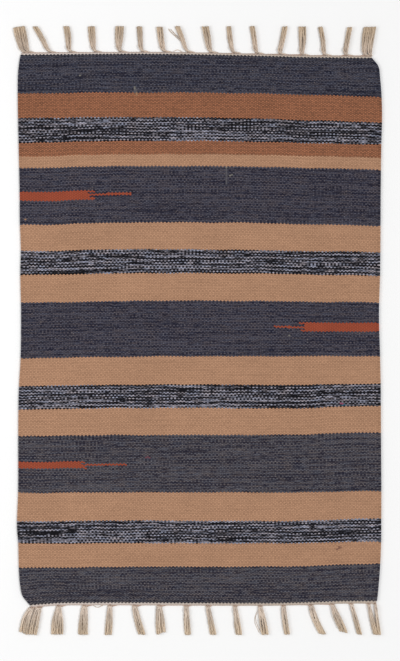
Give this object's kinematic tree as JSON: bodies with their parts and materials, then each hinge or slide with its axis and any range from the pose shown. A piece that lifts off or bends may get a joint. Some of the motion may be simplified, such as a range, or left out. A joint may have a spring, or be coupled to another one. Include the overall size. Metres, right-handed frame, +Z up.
{
  "type": "kilim rug",
  "caption": "Small flat-woven cotton kilim with plain cross stripes, short forked tapestry bars and knotted warp fringes at both ends.",
  "frame": {"origin": "floor level under the middle of the rug, fringes included", "axes": "+X across the rug, +Y along it towards the end where the broad brown stripe is, +Z up from the floor"},
  "size_m": [0.6104, 1.0072, 0.0048],
  "materials": {
    "woven_cotton": "weft-faced plain weave in stripes of charcoal, tan, brown and black and white yarn, matt",
    "warp_cotton": "undyed plied cotton yarn, matt"
  },
  "bodies": {
    "root": {"woven_body": "woven_cotton", "fringe_top": "warp_cotton", "fringe_bottom": "warp_cotton"}
  },
  "joints": []
}
